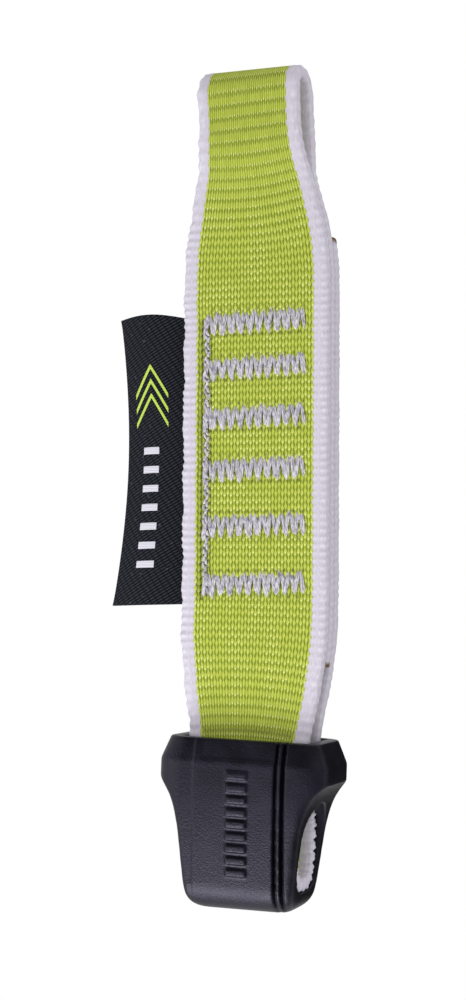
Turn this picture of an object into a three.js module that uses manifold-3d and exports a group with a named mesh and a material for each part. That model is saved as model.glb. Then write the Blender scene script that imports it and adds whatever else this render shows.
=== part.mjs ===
// A quickdraw sling for climbing: a closed loop of tapered webbing, bar-tacked through three layers, with a
// folded label in its side seam and a moulded protector pushed over the lower loop.
// Millimetres, +Z up along the hanging sling, X across the webbing, -Y towards the needle side of the stitching.
// The origin is the point inside the crown of the upper loop where the upper carabiner bears.
import * as THREE from 'three';
import { mergeVertices } from 'three/addons/utils/BufferGeometryUtils.js';
import Module from 'manifold-3d';

const wasm = await Module();
wasm.setup();

// ---------------------------------------------------------------- driving dimensions

const FIT = 0.3; // clearance between pieces that touch on the real sling

// Webbing: one strip, wide over the stitches and narrow in both end loops.
const WEB_THICK = 1.9;
const WEB_WIDE = 22;
const WEB_NARROW = 15.5;
const UPPER_TAPER = { narrow: -7.5, wide: -30 }; // heights where the upper taper starts and ends
const LOWER_TAPER = { wide: -79, narrow: -107.5 };

// Stack of three layers in the stitched middle.
const LAYER_PITCH = WEB_THICK + FIT;
const FRONT_Y = -LAYER_PITCH;
const INNER_Y = 0;
const BACK_Y = LAYER_PITCH;
const INNER_END_Z = -85.4; // cut end of the strip that is hidden inside the stack
const BACK_END_Z = -24.6; // cut end of the strip that shows on the back

// Upper loop: a round crown over an eye for the carabiner.
const UPPER_EYE_HALF = 2.35;
const UPPER_EYE_Z = -8; // the legs are parallel from the crown down to here
const UPPER_MERGE_Z = -18; // and lie on each other from here down
const UPPER_FLEX = { y: (FRONT_Y + INNER_Y) / 2, z: -20.5, reach: 2.6 };

// Lower loop: a flat-bottomed U that lines the protector.
const LOWER_EYE_HALF = 2.7;
const LOWER_EYE_Z = -106;
const LOWER_SPLIT_Z = -86;
const LOWER_BOTTOM_Z = -118; // underside of the webbing
const LOWER_FLAT_HALF = 1; // half of the flat stretch that the lower carabiner bears on
const LOWER_FLEX = { y: 0, z: -90.5, reach: 4 };

const FLEX_LIMIT = THREE.MathUtils.degToRad(45); // how far each end bends before its webbing would meet the stack

// Stitching: six bar tacks across the stack and one label seam beside them.
const THREAD = 0.42;
const TACK_HEIGHTS = [-36.2, -42.85, -50.1, -57.7, -65.9, -74.4]; // sewn by hand and eye, so not quite even
const TACK_LEFT = -7.2;
const TACK_RIGHT = 7.6;
const TACK_TEETH = 11;
const TACK_HEIGHT = 3.6;
const TACK_POSTS = [1, 11, 20]; // the zigzag runs, counted from the left, that also go down through the layers
const SEAM_X = -8.1;

// Label: a folded tape whose tails are sewn into the left edge of the stack.
const LABEL_THICK = 0.5;
const LABEL_TOP = -34.8;
const LABEL_BOTTOM = -77.4;
const LABEL_Y = -1.5;
const LABEL_TAIL = { inner: -6.4, outer: -11.2 };
const LABEL_HINGE_X = -11.5;
const LABEL_REACH = 10.5;
const LABEL_BULGE = 1.3;

// Protector: a collar round both legs of the loop and a U-shaped strap under it, open at both sides.
const COLLAR_TOP = -96.6;
const COLLAR_EDGE = -99.9; // lower end of the chamfer round the collar
const COLLAR_LOW = -102.4; // where the flanks start to draw in
const CHAMFER = { x: 1.3, y: 0.8 };
const PANEL_HALF = 6.8; // half width of the flat front panel
const COLLAR_HALF = { x: 12.5, y: 7.5 };
const COLLAR_END_HALF = 4.6; // half of the collar's short end face
const COLLAR_SHOULDER = { x: 10.6, y: 6.85 }; // the rounded corner between the panel and the end face
const STRAP_HALF = { shoulder: 9.7, top: 9, bottom: 8.2 };
const STRAP_DEPTH_LOW = 6.5;
const PROTECTOR_BOTTOM = -120.9;
const WALL_Y = 4.95; // inner half depth
const SLOT_HALF = { collar: 9.5, strap: 8.2 }; // inner half widths
const SLOT_TAPER = { wide: -99.5, narrow: -105.5 };
const ARCH_TOP = -105.4;
const ARCH_SPRING = -110.5;
const FLOOR_Z = LOWER_BOTTOM_Z - FIT;
const RIB = { count: 9, firstZ: -101.6, pitch: 1.72, height: 0.95, half: 1.5, proud: 0.35 };

// ---------------------------------------------------------------- finishes

function finish(color, roughness) {
  return new THREE.MeshStandardMaterial({ color, roughness, metalness: 0 });
}

const limeWebbing = finish(0xa9bf3a, 0.75);
const greyThread = finish(0xa7a4b2, 0.6);
const blackLabel = finish(0x1b1c24, 0.8);
const blackPlastic = finish(0x24242b, 0.42);

// ---------------------------------------------------------------- shaping tools

// A three.js geometry as a manifold-3d solid.
function solidOf(geometry) {
  const bare = geometry.clone();
  bare.deleteAttribute('normal');
  bare.deleteAttribute('uv');
  const merged = mergeVertices(bare, 1e-4);
  return new wasm.Manifold(new wasm.Mesh({
    numProp: 3,
    vertProperties: merged.attributes.position.array,
    triVerts: new Uint32Array(merged.index.array),
  }));
}

// A manifold-3d solid as a named mesh.
function meshOf(name, solid, material) {
  const { numProp, numVert, vertProperties, triVerts } = solid.getMesh();
  const positions = new Float32Array(numVert * 3);
  for (let i = 0; i < numVert; i++) {
    positions.set(vertProperties.subarray(i * numProp, i * numProp + 3), i * 3);
  }
  const geometry = new THREE.BufferGeometry();
  geometry.setAttribute('position', new THREE.BufferAttribute(positions, 3));
  geometry.setIndex(new THREE.BufferAttribute(triVerts, 1));
  geometry.computeVertexNormals();
  const mesh = new THREE.Mesh(geometry, material);
  mesh.name = name;
  return mesh;
}

const X = new THREE.Vector3(1, 0, 0);
const Y = new THREE.Vector3(0, 1, 0);
const Z = new THREE.Vector3(0, 0, 1);

// Extrudes an outline by depth, with the outline's own axes laid along u and v and its middle at centre.
function prism(outline, depth, u, v, centre = 0) {
  const w = new THREE.Vector3().crossVectors(u, v);
  const geometry = new THREE.ExtrudeGeometry(outline, { depth, bevelEnabled: false, curveSegments: 8 });
  geometry.translate(0, 0, -depth / 2);
  geometry.applyMatrix4(new THREE.Matrix4().makeBasis(u, v, w));
  geometry.translate(...w.multiplyScalar(w.dot(new THREE.Vector3(1, 1, 1)) * centre).toArray());
  return solidOf(geometry);
}

const alongX = (outline, depth, x = 0) => prism(outline, depth, Y, Z, x); // outline in Y and Z
const alongY = (outline, depth, y = 0) => prism(outline, depth, X, Z, y); // outline in X and Z
const alongZ = (outline, depth, z = 0) => prism(outline, depth, X, Y, z); // outline in X and Y

function block(x0, x1, y0, y1, z0, z1) {
  const geometry = new THREE.BoxGeometry(x1 - x0, y1 - y0, z1 - z0);
  geometry.translate((x0 + x1) / 2, (y0 + y1) / 2, (z0 + z1) / 2);
  return solidOf(geometry);
}

// A round bar along Y from y0 to y1.
function bar(x, z, radius, y0, y1) {
  const geometry = new THREE.CylinderGeometry(radius, radius, y1 - y0, 8);
  geometry.translate(x, (y0 + y1) / 2, z);
  return solidOf(geometry);
}

// The outline of a band of even thickness that follows a line of points.
function band(points, thickness) {
  const line = points.filter((point, i) => !i || point.distanceTo(points[i - 1]) > 1e-4);
  const sides = [[], []];
  line.forEach((point, i) => {
    const before = line[Math.max(i - 1, 0)];
    const after = line[Math.min(i + 1, line.length - 1)];
    const into = (i ? point.clone().sub(before) : after.clone().sub(point)).normalize();
    const out = (i < line.length - 1 ? after.clone().sub(point) : into.clone()).normalize();
    const mitre = into.clone().add(out).normalize();
    const half = thickness / 2 / mitre.dot(out);
    const normal = new THREE.Vector2(-mitre.y, mitre.x);
    sides[0].push(point.clone().addScaledVector(normal, half));
    sides[1].push(point.clone().addScaledVector(normal, -half));
  });
  return new THREE.Shape([...sides[0], ...sides[1].reverse()]);
}

// ---------------------------------------------------------------- webbing

// The strip laid flat, seen from the front: it limits the width of every stretch.
function widthOutline() {
  const wide = WEB_WIDE / 2;
  const narrow = WEB_NARROW / 2;
  const topZ = 10;
  const bottomZ = LOWER_BOTTOM_Z - 10;
  const upperBend = (UPPER_TAPER.narrow + UPPER_TAPER.wide) / 2;
  const lowerBend = (LOWER_TAPER.narrow + LOWER_TAPER.wide) / 2;
  const outline = new THREE.Shape();
  outline.moveTo(narrow, topZ);
  for (const side of [1, -1]) {
    const ends = side > 0 ? [UPPER_TAPER.narrow, UPPER_TAPER.wide, LOWER_TAPER.wide, LOWER_TAPER.narrow]
      : [LOWER_TAPER.narrow, LOWER_TAPER.wide, UPPER_TAPER.wide, UPPER_TAPER.narrow];
    const bends = side > 0 ? [upperBend, lowerBend] : [lowerBend, upperBend];
    outline.lineTo(side * narrow, ends[0]);
    outline.bezierCurveTo(side * narrow, bends[0], side * wide, bends[0], side * wide, ends[1]);
    outline.lineTo(side * wide, ends[2]);
    outline.bezierCurveTo(side * wide, bends[1], side * narrow, bends[1], side * narrow, ends[3]);
    outline.lineTo(side * narrow, side > 0 ? bottomZ : topZ);
    if (side > 0) outline.lineTo(-narrow, bottomZ);
  }
  return outline;
}

const widthLimit = alongY(widthOutline(), 20);

// A stretch of the strip along a path in Y and Z.
function webbing(path) {
  return alongX(band(path.getPoints(8), WEB_THICK), WEB_WIDE + 2).intersect(widthLimit);
}

// The space that an end needs to bend: two wedges that meet on the bending axis.
function flexGap({ y, z, reach }) {
  const open = reach * Math.tan(FLEX_LIMIT / 2) + FIT / 2;
  const outline = new THREE.Shape();
  outline.moveTo(y - reach, z - open);
  outline.lineTo(y, z - FIT / 2);
  outline.lineTo(y + reach, z - open);
  outline.lineTo(y + reach, z + open);
  outline.lineTo(y, z + FIT / 2);
  outline.lineTo(y - reach, z + open);
  return alongX(outline, WEB_WIDE + 4);
}

function upperLoop() {
  const half = UPPER_EYE_HALF + WEB_THICK / 2;
  const bend = (UPPER_EYE_Z + UPPER_MERGE_Z) / 2;
  const path = new THREE.Path();
  path.moveTo(INNER_Y, UPPER_FLEX.z);
  path.lineTo(INNER_Y, UPPER_MERGE_Z);
  path.bezierCurveTo(INNER_Y, bend, half, bend, half, UPPER_EYE_Z);
  path.lineTo(half, -UPPER_EYE_HALF);
  path.absarc(0, -UPPER_EYE_HALF, half, 0, Math.PI, false);
  path.lineTo(-half, UPPER_EYE_Z);
  path.bezierCurveTo(-half, bend, FRONT_Y, bend, FRONT_Y, UPPER_MERGE_Z);
  path.lineTo(FRONT_Y, UPPER_FLEX.z);
  return webbing(path).subtract(flexGap(UPPER_FLEX));
}

function lowerLoop() {
  const half = LOWER_EYE_HALF + WEB_THICK / 2;
  const corner = half - LOWER_FLAT_HALF;
  const bottom = LOWER_BOTTOM_Z + WEB_THICK / 2;
  const bend = (LOWER_FLEX.z + LOWER_EYE_Z) / 2;
  const path = new THREE.Path();
  path.moveTo(FRONT_Y, LOWER_FLEX.z);
  path.bezierCurveTo(FRONT_Y, bend, -half, bend, -half, LOWER_EYE_Z);
  path.lineTo(-half, bottom + corner);
  path.absarc(-LOWER_FLAT_HALF, bottom + corner, corner, Math.PI, 1.5 * Math.PI, false);
  path.lineTo(LOWER_FLAT_HALF, bottom);
  path.absarc(LOWER_FLAT_HALF, bottom + corner, corner, 1.5 * Math.PI, 2 * Math.PI, false);
  path.lineTo(half, LOWER_EYE_Z);
  path.bezierCurveTo(half, bend, BACK_Y, bend, BACK_Y, LOWER_FLEX.z);
  return webbing(path).subtract(flexGap(LOWER_FLEX));
}

// One straight layer of the stack, with the holes that the stitches leave in it.
function layer(y, top, bottom) {
  const path = new THREE.Path();
  path.moveTo(y, top);
  path.lineTo(y, bottom);
  let solid = webbing(path);
  for (const { x, z } of stitchPoints()) {
    solid = solid.subtract(bar(x, z, THREAD / 2 + FIT, y - WEB_THICK, y + WEB_THICK));
  }
  return solid.subtract(flexGap(UPPER_FLEX)).subtract(flexGap(LOWER_FLEX));
}

function frontLayer() {
  const inside = FRONT_Y + WEB_THICK / 2;
  const pocket = block(-WEB_WIDE, LABEL_TAIL.inner + FIT, LABEL_Y - LABEL_THICK / 2 - FIT, inside + FIT,
    LABEL_BOTTOM - FIT, LABEL_TOP + FIT);
  return layer(FRONT_Y, UPPER_FLEX.z, LOWER_FLEX.z).subtract(pocket);
}

// ---------------------------------------------------------------- stitching

const tackRun = (TACK_RIGHT - TACK_LEFT) / (2 * TACK_TEETH); // width of one run of the zigzag

// Where thread passes through the layers: three places in each bar tack, and the seam's stitches.
function tackPoints(tack) {
  return TACK_POSTS.map((run) => ({ x: TACK_LEFT + (run + 0.5) * tackRun, z: TACK_HEIGHTS[tack] }));
}

function seamPoints() {
  const points = [];
  for (let tack = 0; tack < TACK_HEIGHTS.length - 1; tack++) {
    for (const share of [0.3, 0.7]) {
      points.push({ x: SEAM_X, z: THREE.MathUtils.lerp(TACK_HEIGHTS[tack], TACK_HEIGHTS[tack + 1], share) });
    }
  }
  return points;
}

function stitchPoints() {
  const tacks = TACK_HEIGHTS.map((_, tack) => tackPoints(tack));
  return [...tacks.flat(), ...seamPoints()];
}

const STACK_HALF = LAYER_PITCH + WEB_THICK / 2;
const THREAD_Y = STACK_HALF + FIT + THREAD / 2; // middle of the thread that lies on a face
const LOCK_GAP = 0.4; // needle and bobbin thread stop this far apart in the middle of the stack

// A line of thread on one face, with legs that go down to the middle of the stack. side is -1 in front, 1 behind.
function thread(points, legs, side) {
  const lying = alongY(band(points, THREAD), THREAD, side * THREAD_Y);
  return legs.reduce((solid, { x, z }) => {
    const ends = [side * LOCK_GAP / 2, side * THREAD_Y].sort((a, b) => a - b);
    return solid.add(bar(x, z, THREAD / 2, ...ends));
  }, lying);
}

function tackThread(tack, side) {
  const points = [];
  for (let i = 0; i <= 2 * TACK_TEETH; i++) {
    const up = i % 2 ? 0.5 : -0.5;
    points.push(new THREE.Vector2(TACK_LEFT + i * tackRun, TACK_HEIGHTS[tack] + up * TACK_HEIGHT));
  }
  return thread(points, tackPoints(tack), side);
}

function seamThread(side) {
  const ends = [LABEL_TOP - 1, LABEL_BOTTOM + 1].map((z) => new THREE.Vector2(SEAM_X, z));
  return thread(ends, seamPoints(), side);
}

// ---------------------------------------------------------------- label

function labelTail() {
  const half = LABEL_THICK / 2;
  const tail = block(LABEL_TAIL.outer, LABEL_TAIL.inner, LABEL_Y - half, LABEL_Y + half, LABEL_BOTTOM, LABEL_TOP);
  return seamPoints().reduce(
    (solid, { x, z }) => solid.subtract(bar(x, z, THREAD / 2 + FIT, LABEL_Y - 1, LABEL_Y + 1)), tail);
}

// The part of the label that stands out of the seam, bulging to the front.
function labelFlap() {
  const root = LABEL_HINGE_X - FIT;
  const path = new THREE.Path();
  path.moveTo(root, LABEL_Y);
  path.lineTo(root - 1.5, LABEL_Y);
  path.quadraticCurveTo(root - LABEL_REACH / 2, LABEL_Y - 2 * LABEL_BULGE, root - LABEL_REACH, LABEL_Y);
  const height = LABEL_TOP - LABEL_BOTTOM;
  return alongZ(band(path.getPoints(6), LABEL_THICK), height, (LABEL_TOP + LABEL_BOTTOM) / 2);
}

// ---------------------------------------------------------------- protector

// Half of the front outline, from the top of the collar to the underside, mirrored by the caller.
function protectorFront() {
  const outline = new THREE.Shape();
  const corner = 2.8;
  outline.moveTo(COLLAR_HALF.x - CHAMFER.x, COLLAR_TOP);
  outline.lineTo(COLLAR_HALF.x, COLLAR_EDGE);
  outline.lineTo(COLLAR_HALF.x, COLLAR_LOW);
  outline.bezierCurveTo(STRAP_HALF.shoulder + 1, COLLAR_LOW - 1.5, STRAP_HALF.shoulder - 0.4, COLLAR_LOW - 4,
    STRAP_HALF.top, ARCH_SPRING);
  outline.lineTo(STRAP_HALF.bottom, PROTECTOR_BOTTOM + corner);
  outline.quadraticCurveTo(STRAP_HALF.bottom - 0.3, PROTECTOR_BOTTOM, STRAP_HALF.bottom - corner, PROTECTOR_BOTTOM);
  outline.lineTo(0, PROTECTOR_BOTTOM);
  outline.lineTo(0, COLLAR_TOP);
  return outline;
}

// Half of the side outline: the strap thins towards a round foot.
function protectorSide() {
  const foot = 2.2;
  const round = STRAP_DEPTH_LOW - foot;
  const outline = new THREE.Shape();
  outline.moveTo(COLLAR_HALF.y - CHAMFER.y, COLLAR_TOP);
  outline.lineTo(COLLAR_HALF.y, COLLAR_EDGE);
  outline.lineTo(COLLAR_HALF.y, COLLAR_LOW);
  outline.lineTo(STRAP_DEPTH_LOW, PROTECTOR_BOTTOM + round);
  outline.absarc(foot, PROTECTOR_BOTTOM + round, round, 0, -Math.PI / 2, true);
  outline.lineTo(0, PROTECTOR_BOTTOM);
  outline.lineTo(0, COLLAR_TOP);
  return outline;
}

// The whole section, seen from above: a flat panel front and back and slanting faces to two short ends.
function protectorPlan() {
  return new THREE.Shape([
    [PANEL_HALF, -COLLAR_HALF.y],
    [COLLAR_SHOULDER.x, -COLLAR_SHOULDER.y],
    [COLLAR_HALF.x, -COLLAR_END_HALF],
    [COLLAR_HALF.x, COLLAR_END_HALF],
    [COLLAR_SHOULDER.x, COLLAR_SHOULDER.y],
    [PANEL_HALF, COLLAR_HALF.y],
    [-PANEL_HALF, COLLAR_HALF.y],
    [-COLLAR_SHOULDER.x, COLLAR_SHOULDER.y],
    [-COLLAR_HALF.x, COLLAR_END_HALF],
    [-COLLAR_HALF.x, -COLLAR_END_HALF],
    [-COLLAR_SHOULDER.x, -COLLAR_SHOULDER.y],
    [-PANEL_HALF, -COLLAR_HALF.y],
  ].map(([x, y]) => new THREE.Vector2(x, y)));
}

function bothSides(solid, normal) {
  return solid.add(solid.mirror(normal));
}

// The eye through the strap: flat floor, round corners, and an arch under the collar.
function eyeOutline() {
  const round = WALL_Y - LOWER_FLAT_HALF;
  const outline = new THREE.Shape();
  outline.moveTo(-LOWER_FLAT_HALF, FLOOR_Z);
  outline.lineTo(LOWER_FLAT_HALF, FLOOR_Z);
  outline.absarc(LOWER_FLAT_HALF, FLOOR_Z + round, round, -Math.PI / 2, 0, false);
  outline.lineTo(WALL_Y, ARCH_SPRING);
  outline.bezierCurveTo(WALL_Y, ARCH_SPRING + 3, 2.4, ARCH_TOP, 0, ARCH_TOP);
  outline.bezierCurveTo(-2.4, ARCH_TOP, -WALL_Y, ARCH_SPRING + 3, -WALL_Y, ARCH_SPRING);
  outline.lineTo(-WALL_Y, FLOOR_Z + round);
  outline.absarc(-LOWER_FLAT_HALF, FLOOR_Z + round, round, Math.PI, 1.5 * Math.PI, false);
  return outline;
}

// Half of the slot for the webbing, seen from the front: open at the top, down to where the eye takes over.
function slotOutline() {
  return new THREE.Shape([
    [SLOT_HALF.collar, COLLAR_TOP + 2],
    [SLOT_HALF.collar, SLOT_TAPER.wide],
    [SLOT_HALF.strap, SLOT_TAPER.narrow],
    [SLOT_HALF.strap, ARCH_SPRING],
    [0, ARCH_SPRING],
    [0, COLLAR_TOP + 2],
  ].map(([x, z]) => new THREE.Vector2(x, z)));
}

function gripRibs() {
  let ribs = null;
  for (let i = 0; i < RIB.count; i++) {
    const z = RIB.firstZ - i * RIB.pitch;
    const rib = block(-RIB.half, RIB.half, -COLLAR_HALF.y - 1, COLLAR_HALF.y + 1, z - RIB.height / 2, z + RIB.height / 2);
    ribs = ribs ? ribs.add(rib) : rib;
  }
  return ribs;
}

function protector() {
  const wide = 2 * COLLAR_HALF.x + 4;
  const front = bothSides(alongY(protectorFront(), wide), [1, 0, 0]);
  const side = bothSides(alongX(protectorSide(), wide), [0, 1, 0]);
  const height = COLLAR_TOP - PROTECTOR_BOTTOM + 4;
  const plan = alongZ(protectorPlan(), height, (COLLAR_TOP + PROTECTOR_BOTTOM) / 2);
  const skin = front.intersect(side).intersect(plan);
  const proudSide = side.translate([0, -RIB.proud, 0]).add(side.translate([0, RIB.proud, 0]));
  const ribs = gripRibs().intersect(proudSide);
  const slot = bothSides(alongY(slotOutline(), 2 * WALL_Y), [1, 0, 0]);
  const eye = alongX(eyeOutline(), wide);
  return skin.add(ribs).subtract(slot).subtract(eye);
}

// ---------------------------------------------------------------- assembly

const sling = new THREE.Group();
sling.add(meshOf('upper_loop_webbing', upperLoop(), limeWebbing));
sling.add(meshOf('front_webbing_layer', frontLayer(), limeWebbing));
sling.add(meshOf('inner_webbing_layer', layer(INNER_Y, UPPER_FLEX.z, INNER_END_Z), limeWebbing));
sling.add(meshOf('back_webbing_layer', layer(BACK_Y, BACK_END_Z, LOWER_FLEX.z), limeWebbing));
sling.add(meshOf('lower_loop_webbing', lowerLoop(), limeWebbing));
for (let tack = 0; tack < TACK_HEIGHTS.length; tack++) {
  sling.add(meshOf(`bar_tack_${tack + 1}_needle_thread`, tackThread(tack, -1), greyThread));
  sling.add(meshOf(`bar_tack_${tack + 1}_bobbin_thread`, tackThread(tack, 1), greyThread));
}
sling.add(meshOf('label_seam_needle_thread', seamThread(-1), greyThread));
sling.add(meshOf('label_seam_bobbin_thread', seamThread(1), greyThread));
sling.add(meshOf('label_tail', labelTail(), blackLabel));
sling.add(meshOf('label_flap', labelFlap(), blackLabel));
sling.add(meshOf('loop_protector', protector(), blackPlastic));

export default sling;
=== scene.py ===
# %% [markdown]
# # A quickdraw sling
#
# A quickdraw sling is a short strip of strong webbing, sewn into a loop, that joins two carabiners. This
# lesson makes one on top of its imported frame: the woven strip, the bar tacks that hold it together, the
# folded label in its side seam, and the moulded protector that keeps the lower carabiner in place.
#
# The frame comes first. Every piece takes its place from it, and the box around it places the camera and the
# floor.

# %% Load the frame
import math

import bpy
import numpy as np
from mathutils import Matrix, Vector


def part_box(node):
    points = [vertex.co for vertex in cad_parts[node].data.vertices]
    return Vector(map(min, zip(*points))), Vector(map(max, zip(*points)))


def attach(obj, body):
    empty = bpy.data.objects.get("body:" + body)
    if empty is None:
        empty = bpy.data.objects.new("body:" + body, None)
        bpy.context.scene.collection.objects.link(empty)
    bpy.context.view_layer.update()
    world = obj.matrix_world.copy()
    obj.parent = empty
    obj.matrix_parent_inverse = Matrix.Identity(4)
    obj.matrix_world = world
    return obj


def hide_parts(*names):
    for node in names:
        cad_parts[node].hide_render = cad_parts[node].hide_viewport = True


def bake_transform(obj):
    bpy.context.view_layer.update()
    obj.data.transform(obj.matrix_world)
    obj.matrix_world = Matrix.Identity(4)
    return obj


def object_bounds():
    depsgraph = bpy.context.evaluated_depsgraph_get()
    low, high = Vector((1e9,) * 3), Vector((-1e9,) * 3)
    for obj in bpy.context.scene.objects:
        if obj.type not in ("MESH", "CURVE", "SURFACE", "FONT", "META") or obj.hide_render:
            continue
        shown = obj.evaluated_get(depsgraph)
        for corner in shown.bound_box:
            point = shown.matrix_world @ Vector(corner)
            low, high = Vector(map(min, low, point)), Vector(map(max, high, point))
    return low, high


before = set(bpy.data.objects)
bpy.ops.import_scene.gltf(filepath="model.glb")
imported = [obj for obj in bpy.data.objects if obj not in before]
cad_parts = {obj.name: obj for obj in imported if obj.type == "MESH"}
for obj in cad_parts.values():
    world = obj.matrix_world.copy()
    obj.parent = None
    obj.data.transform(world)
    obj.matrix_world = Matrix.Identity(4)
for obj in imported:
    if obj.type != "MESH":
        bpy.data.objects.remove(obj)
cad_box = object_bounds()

MM = 0.001

# %% [markdown]
# ## Camera
#
# The sling hangs upright and the camera looks at its front from a little to the right, so that the side of
# the stack and the eye of the protector both show. The aim is a little left of the sling's axis and below
# its middle, which leaves room for the label.

# %% Camera
AZIMUTH, ELEVATION, ROLL = (math.radians(degrees) for degrees in (20, -3.5, 0.4))
DISTANCE = 260.5 * MM
AIM_LEFT, AIM_DOWN = 4.05 * MM, 2.6 * MM

low, high = cad_box
middle = Vector((0, 0, (low.z + high.z) / 2))
towards_camera = Vector((math.sin(AZIMUTH) * math.cos(ELEVATION), -math.cos(AZIMUTH) * math.cos(ELEVATION),
                         math.sin(ELEVATION)))
to_the_right = Vector((math.cos(AZIMUTH), math.sin(AZIMUTH), 0))
aim = middle - to_the_right * AIM_LEFT - Vector((0, 0, AIM_DOWN))

bpy.ops.object.camera_add(location=aim + towards_camera * DISTANCE)
camera = bpy.context.active_object
camera.data.lens = 64
camera.data.clip_start = 0.01
camera.rotation_euler = (-towards_camera).to_track_quat("-Z", "Y").to_euler()
camera.rotation_euler.rotate_axis("Z", ROLL)
bpy.context.scene.camera = camera
print("camera at", tuple(round(value, 3) for value in camera.location))

# %% [markdown]
# ## Studio
#
# A pale world lights the sling evenly from all sides, as a light tent does. A soft key light from the left
# shows the relief of the weave, a low one runs along the foot of the black moulding, and one from the right
# lights the side of the stack. Dark cards to the right, above and behind show only in reflections, so that
# the edges of the moulding read. The white dome and the white floor only stand for the seamless paper that
# the sling is seen against.

# %% Studio
FLOOR_DROP = 45 * MM
FLOOR_RADIUS, DOME_RADIUS = 1.2, 3
TENT_LIGHT = 0.68
LAMPS = [  # name, place, size, power, strength in reflections
    ("key_light", (-0.42, -0.36, -0.06), 0.30, 0.40, 0.25),
    ("foot_light", (-0.12, -0.22, -0.36), 0.20, 0.90, 1),
    ("side_light", (0.42, -0.21, 0.04), 0.40, 0.42, 0),
]
CARDS = [  # name, place, size
    ("dark_card_right", (0.34, -0.16, -0.05), 0.70),
    ("dark_card_above", (-0.12, -0.32, 0.17), 0.64),
    ("dark_card_behind", (0.20, 0.42, -0.09), 0.50),
]


def linear(hex_colour):
    """A colour written as on a web page, such as #A9BF3A, in the linear values that a shader takes."""
    values = [int(hex_colour[i:i + 2], 16) / 255 for i in (1, 3, 5)]
    return tuple(v / 12.92 if v <= 0.04045 else ((v + 0.055) / 1.055) ** 2.4 for v in values) + (1,)


def fill(socket, value):
    """Gives a socket a link from another node, a hex colour or a plain value."""
    if isinstance(value, bpy.types.NodeSocket):
        socket.id_data.links.new(value, socket)
    else:
        socket.default_value = linear(value) if isinstance(value, str) else value


def fill_named(node, **values):
    """Fills a node's sockets by name, with _ for a space."""
    for name, value in values.items():
        fill(node.inputs[name.replace("_", " ")], value)


def new_material(name, **values):
    """A material and its shader, whose sockets get these values."""
    material = bpy.data.materials.new(name)
    material.use_nodes = True
    shader = material.node_tree.nodes["Principled BSDF"]
    fill_named(shader, **values)
    return material, shader


def look_at(thing, target):
    thing.rotation_euler = (target - thing.location).to_track_quat("-Z", "Y").to_euler()


def show_only_to(thing, kind):
    """Shows a thing to one kind of ray and hides it from the others."""
    for ray in ("camera", "diffuse", "glossy", "transmission", "volume_scatter", "shadow"):
        setattr(thing, "visible_" + ray, ray == kind)


world = bpy.data.worlds.new("light_tent")
bpy.context.scene.world = world
world.use_nodes = True
fill_named(world.node_tree.nodes["Background"], Color="#FFFFFF", Strength=TENT_LIGHT)
bpy.context.scene.view_settings.view_transform = "Standard"

for name, place, size, power, reflected in LAMPS:
    bpy.ops.object.light_add(type="AREA", location=place)
    lamp = bpy.context.active_object
    lamp.name = name
    lamp.data.size = size
    lamp.data.energy = power
    lamp.data.specular_factor = reflected
    look_at(lamp, middle)

black_card, _ = new_material("black_card", Base_Color="#101010", Roughness=1)
for name, place, size in CARDS:
    bpy.ops.mesh.primitive_plane_add(size=size, location=place)
    card = bpy.context.active_object
    card.name = name
    look_at(card, middle)
    card.data.materials.append(black_card)
    show_only_to(card, "glossy")

paper, _ = new_material("white_paper", Base_Color="#000000", Specular_IOR_Level=0, Roughness=1,
                        Emission_Color="#FFFFFF", Emission_Strength=1)
bpy.ops.mesh.primitive_circle_add(vertices=96, radius=FLOOR_RADIUS, fill_type="NGON",
                                  location=(0, 0, low.z - FLOOR_DROP))
floor = bpy.context.active_object
floor.name = "pale_floor"
bpy.ops.mesh.primitive_uv_sphere_add(segments=48, ring_count=24, radius=DOME_RADIUS)
dome = bpy.context.active_object
dome.name = "white_dome"
for paper_sheet in (floor, dome):
    paper_sheet.data.materials.append(paper)
    show_only_to(paper_sheet, "camera")
print("studio:", len(LAMPS), "lamps and", len(CARDS), "cards")

# %% [markdown]
# ## Tools for modelling
#
# Each piece starts as a primitive. These few helpers do what a hand does between two steps: let go of
# everything, name the new piece, move its vertices, keep a modifier's result, and smooth the shading up to
# an edge angle.

# %% Modelling helpers
def let_go():
    """Back to object mode with nothing selected."""
    if bpy.context.object and bpy.context.object.mode != "OBJECT":
        bpy.ops.object.mode_set(mode="OBJECT")
    bpy.ops.object.select_all(action="DESELECT")


def pick(*pieces):
    let_go()
    for piece in pieces:
        piece.select_set(True)
    bpy.context.view_layer.objects.active = pieces[0]


def name_new(name):
    piece = bpy.context.active_object
    piece.name = piece.data.name = name
    return piece


def corners(piece):
    """The places of a piece's vertices, in millimetres."""
    flat = np.empty(len(piece.data.vertices) * 3)
    piece.data.vertices.foreach_get("co", flat)
    return flat.reshape(-1, 3) / MM


def put_corners(piece, places):
    piece.data.vertices.foreach_set("co", (np.asarray(places) * MM).ravel())
    piece.data.update()


def new_grid(name, columns, rows):
    """A flat grid with this many faces each way, and where its vertices are on it, from 0 to 1."""
    let_go()
    bpy.ops.mesh.primitive_grid_add(x_subdivisions=columns, y_subdivisions=rows, size=1)
    grid = name_new(name)
    return grid, corners(grid)[:, :2] * MM + 0.5


def keep_modifier(piece, kind, **settings):
    """Adds a modifier and applies it at once."""
    pick(piece)
    modifier = piece.modifiers.new(kind.lower(), kind)
    for name, value in settings.items():
        setattr(modifier, name, value)
    bpy.ops.object.modifier_apply(modifier=modifier.name)


def edit_all(piece):
    pick(piece)
    bpy.ops.object.mode_set(mode="EDIT")
    bpy.ops.mesh.select_mode(type="VERT")
    bpy.ops.mesh.select_all(action="SELECT")


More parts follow.
